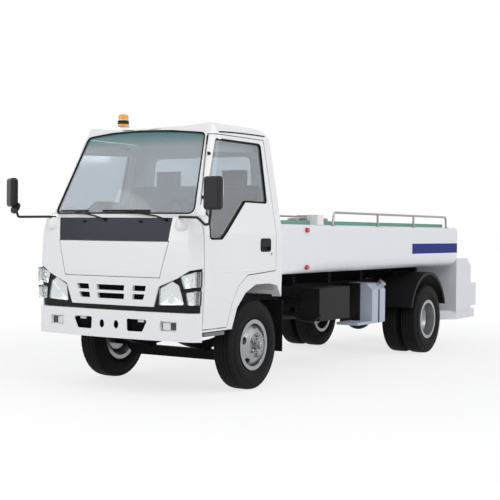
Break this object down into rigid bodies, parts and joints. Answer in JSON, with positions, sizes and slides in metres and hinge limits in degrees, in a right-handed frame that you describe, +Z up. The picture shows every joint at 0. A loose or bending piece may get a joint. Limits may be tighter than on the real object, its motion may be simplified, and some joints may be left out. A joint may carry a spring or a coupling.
{
  "type": "lavatory service truck",
  "caption": "Airport lavatory service truck: narrow forward-control cab, ladder chassis with twin rear wheels, low service tank with walkway, rails and a rear cabinet.",
  "frame": {"origin": "middle of the truck's bounding box on the ground", "axes": "+Z up; the truck's front faces -Y and its own left side is +X"},
  "size_m": [2.37, 6.5038, 2.494],
  "materials": {
    "cab_paint": "gloss white",
    "tank_paint": "gloss white, slightly cool",
    "chassis_black": "satin black",
    "black_plastic": "black",
    "garnish_plastic": "dark slate",
    "glass": "clear with a green tint",
    "lens": "clear lens",
    "rubber": "black",
    "tyre": "black",
    "wheel_silver": "silver",
    "grey_paint": "light cool grey",
    "step_metal": "grey",
    "stainless": "satin",
    "deck_green": "green, non-slip",
    "amber": "amber",
    "red_lens": "red",
    "seat_fabric": "dark grey",
    "dash_plastic": "dark grey",
    "rust_iron": "dark",
    "cabinet_paint": "pale grey-white",
    "engine_iron": "dark grey"
  },
  "bodies": {
    "chassis": {"battery_box": "black_plastic", "beacon": "amber", "bumper": "cab_paint", "cab_shell": "cab_paint", "cabinet": "cabinet_paint", "dashboard": "dash_plastic", "deck": "deck_green", "deck_box": "cab_paint", "exhaust": "rust_iron", "fog_lamps": "lens", "frame": "chassis_black", "front_axle": "chassis_black", "front_flaps": "rubber", "garnish": "garnish_plastic", "grille": "cab_paint", "handrails": "stainless", "headlamp_lenses": "lens", "lamp_surround": "black_plastic", "leaf_springs": "rust_iron", "marker_lamps": "red_lens", "mirrors": "black_plastic", "powertrain": "engine_iron", "rear_axle": "chassis_black", "rear_mudguards": "black_plastic", "rear_platform": "cabinet_paint", "rear_window": "glass", "seats": "seat_fabric", "side_tank": "grey_paint", "steering_wheel": "black_plastic", "steps": "step_metal", "sub_frame": "chassis_black", "tail_box": "cabinet_paint", "tank": "tank_paint", "windscreen": "glass", "windscreen_seal": "rubber", "wipers": "black_plastic"},
    "door_left": {"door_left": "cab_paint", "door_glass_left": "glass"},
    "door_right": {"door_right": "cab_paint", "door_glass_right": "glass"},
    "knuckle_left": {"knuckle_left": "rust_iron"},
    "knuckle_right": {"knuckle_right": "rust_iron"},
    "wheel_front_left": {"front_tyre_left": "tyre", "front_rim_left": "wheel_silver"},
    "wheel_front_right": {"front_tyre_right": "tyre", "front_rim_right": "wheel_silver"},
    "wheels_rear_left": {"rear_tyres_left": "tyre", "rear_rims_left": "wheel_silver"},
    "wheels_rear_right": {"rear_tyres_right": "tyre", "rear_rims_right": "wheel_silver"},
    "front_lid": {"front_lid": "cab_paint"},
    "cabinet_lid": {"cabinet_lid": "cabinet_paint"},
    "manhole_lid": {"manhole_lid": "stainless"}
  },
  "joints": [
    {"name": "steer_left", "type": "hinge", "parent": "chassis", "child": "knuckle_left", "pos_m": [0.64, -2.14309, 0.401], "axis": [0, 0, 1], "range_deg": [-35, 35]},
    {"name": "steer_right", "type": "hinge", "parent": "chassis", "child": "knuckle_right", "pos_m": [-0.64, -2.14309, 0.401], "axis": [0, 0, 1], "range_deg": [-35, 35]},
    {"name": "roll_front_left", "type": "hinge", "parent": "knuckle_left", "child": "wheel_front_left", "pos_m": [0.756, -2.14309, 0.401], "axis": [1, 0, 0], "continuous": true},
    {"name": "roll_front_right", "type": "hinge", "parent": "knuckle_right", "child": "wheel_front_right", "pos_m": [-0.756, -2.14309, 0.401], "axis": [1, 0, 0], "continuous": true},
    {"name": "roll_rear_left", "type": "hinge", "parent": "chassis", "child": "wheels_rear_left", "pos_m": [0.709, 1.67192, 0.401], "axis": [1, 0, 0], "continuous": true},
    {"name": "roll_rear_right", "type": "hinge", "parent": "chassis", "child": "wheels_rear_right", "pos_m": [-0.709, 1.67192, 0.401], "axis": [1, 0, 0], "continuous": true},
    {"name": "door_left_hinge", "type": "hinge", "parent": "chassis", "child": "door_left", "pos_m": [0.886, -2.99909, 1.2], "axis": [0, 0, -1], "range_deg": [0, 70]},
    {"name": "door_right_hinge", "type": "hinge", "parent": "chassis", "child": "door_right", "pos_m": [-0.886, -2.99909, 1.2], "axis": [0, 0, 1], "range_deg": [0, 70]},
    {"name": "front_lid_hinge", "type": "hinge", "parent": "chassis", "child": "front_lid", "pos_m": [0, -3.15209, 1.45], "axis": [-1, 0, 0], "range_deg": [0, 70]},
    {"name": "cabinet_lid_hinge", "type": "hinge", "parent": "chassis", "child": "cabinet_lid", "pos_m": [0, 2.55692, 1.105], "axis": [1, 0, 0], "range_deg": [0, 75]},
    {"name": "manhole_hinge", "type": "hinge", "parent": "chassis", "child": "manhole_lid", "pos_m": [0, 0.60191, 1.5723], "axis": [-1, 0, 0], "range_deg": [0, 110]}
  ],
  "couplings": [
    {"joint": "steer_right", "follows": "steer_left", "ratio": 1}
  ]
}
